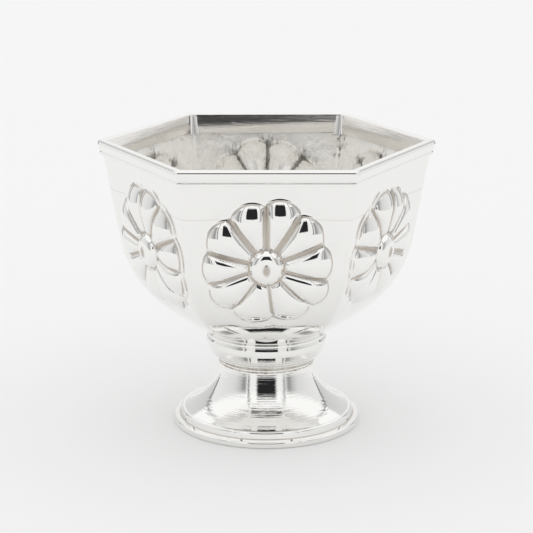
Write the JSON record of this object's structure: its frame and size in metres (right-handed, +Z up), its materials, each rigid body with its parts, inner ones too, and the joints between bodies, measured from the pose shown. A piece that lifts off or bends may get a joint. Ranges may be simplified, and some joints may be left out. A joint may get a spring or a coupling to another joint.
{
  "type": "footed offering bowl",
  "caption": "Footed silver offering bowl with six flat sides, a chased rosette on every side, a moulded rim, a turned stem and a flared hollow foot.",
  "frame": {"origin": "centre of the foot ring's resting face, on the table", "axes": "+Z up along the stem, +X through two opposite corners of the hexagon, one flat side faces -Y"},
  "size_m": [0.076, 0.0658, 0.0656],
  "materials": {
    "polished_silver": "polished",
    "pickled_silver": "frosted",
    "silver_solder": "rough"
  },
  "bodies": {
    "root": {"side_panel_1": "polished_silver", "side_panel_2": "polished_silver", "side_panel_3": "polished_silver", "side_panel_4": "polished_silver", "side_panel_5": "polished_silver", "side_panel_6": "polished_silver", "base_disc": "pickled_silver", "rim_cap_1": "polished_silver", "rim_cap_2": "polished_silver", "rim_cap_3": "polished_silver", "rim_cap_4": "polished_silver", "rim_cap_5": "polished_silver", "rim_cap_6": "polished_silver", "lip_corner_strips": "polished_silver", "stem_knop": "polished_silver", "solder_bead": "silver_solder", "foot_cone": "polished_silver", "foot_ring": "polished_silver"}
  },
  "joints": []
}
